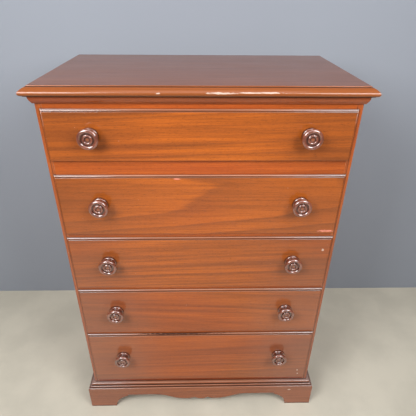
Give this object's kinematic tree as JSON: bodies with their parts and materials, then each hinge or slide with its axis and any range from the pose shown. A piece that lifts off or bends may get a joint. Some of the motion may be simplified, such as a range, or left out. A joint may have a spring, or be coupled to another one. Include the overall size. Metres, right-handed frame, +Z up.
{
  "type": "tall chest of drawers",
  "caption": "Tall mahogany chest of lipped, dovetailed drawers with turned wooden knobs, a moulded top and a scalloped bracket base.",
  "frame": {"origin": "on the floor, in the middle of the chest's box", "axes": "+Z up, +Y from the drawer fronts to the back, +X to the right seen from the front"},
  "size_m": [0.856, 0.4914, 1.219],
  "materials": {
    "mahogany_case": "reddish brown mahogany under glossy lacquer",
    "mahogany_front": "figured mahogany under glossy lacquer, grain across",
    "knob_wood": "turned, dark red stain under glossy lacquer",
    "drawer_wood": "pale hardwood, thin satin finish",
    "frame_wood": "plain planed hardwood, unfinished",
    "plywood": "plain plywood, unfinished",
    "screw_steel": "plain steel"
  },
  "bodies": {
    "case": {"back_panel": "plywood", "base_corner_blocks": "frame_wood", "base_front": "mahogany_case", "base_left": "mahogany_case", "base_right": "mahogany_case", "bed_moulding_front": "mahogany_case", "bed_moulding_left": "mahogany_case", "bed_moulding_right": "mahogany_case", "bottom_rail": "mahogany_case", "drawer_rail_1": "mahogany_case", "drawer_rail_2": "mahogany_case", "drawer_rail_3": "mahogany_case", "drawer_rail_4": "mahogany_case", "runners_left": "frame_wood", "runners_right": "frame_wood", "side_panel_left": "mahogany_case", "side_panel_right": "mahogany_case", "top_kickers": "frame_wood", "top_panel": "mahogany_case", "top_rail": "mahogany_case"},
    "drawer_1": {"drawer_back_1": "drawer_wood", "drawer_bottom_1": "plywood", "drawer_front_1": "mahogany_front", "drawer_side_left_1": "drawer_wood", "drawer_side_right_1": "drawer_wood", "knob_left_1": "knob_wood", "knob_right_1": "knob_wood", "knob_screws_1": "screw_steel"},
    "drawer_2": {"drawer_back_2": "drawer_wood", "drawer_bottom_2": "plywood", "drawer_front_2": "mahogany_front", "drawer_side_left_2": "drawer_wood", "drawer_side_right_2": "drawer_wood", "knob_left_2": "knob_wood", "knob_right_2": "knob_wood", "knob_screws_2": "screw_steel"},
    "drawer_3": {"drawer_back_3": "drawer_wood", "drawer_bottom_3": "plywood", "drawer_front_3": "mahogany_front", "drawer_side_left_3": "drawer_wood", "drawer_side_right_3": "drawer_wood", "knob_left_3": "knob_wood", "knob_right_3": "knob_wood", "knob_screws_3": "screw_steel"},
    "drawer_4": {"drawer_back_4": "drawer_wood", "drawer_bottom_4": "plywood", "drawer_front_4": "mahogany_front", "drawer_side_left_4": "drawer_wood", "drawer_side_right_4": "drawer_wood", "knob_left_4": "knob_wood", "knob_right_4": "knob_wood", "knob_screws_4": "screw_steel"},
    "drawer_5": {"drawer_back_5": "drawer_wood", "drawer_bottom_5": "plywood", "drawer_front_5": "mahogany_front", "drawer_side_left_5": "drawer_wood", "drawer_side_right_5": "drawer_wood", "knob_left_5": "knob_wood", "knob_right_5": "knob_wood", "knob_screws_5": "screw_steel"}
  },
  "joints": [
    {"name": "drawer_1_slide", "type": "slide", "parent": "case", "child": "drawer_1", "axis": [0, -1, 0], "range_m": [0, 0.32]},
    {"name": "drawer_2_slide", "type": "slide", "parent": "case", "child": "drawer_2", "axis": [0, -1, 0], "range_m": [0, 0.32]},
    {"name": "drawer_3_slide", "type": "slide", "parent": "case", "child": "drawer_3", "axis": [0, -1, 0], "range_m": [0, 0.32]},
    {"name": "drawer_4_slide", "type": "slide", "parent": "case", "child": "drawer_4", "axis": [0, -1, 0], "range_m": [0, 0.32]},
    {"name": "drawer_5_slide", "type": "slide", "parent": "case", "child": "drawer_5", "axis": [0, -1, 0], "range_m": [0, 0.32]}
  ]
}
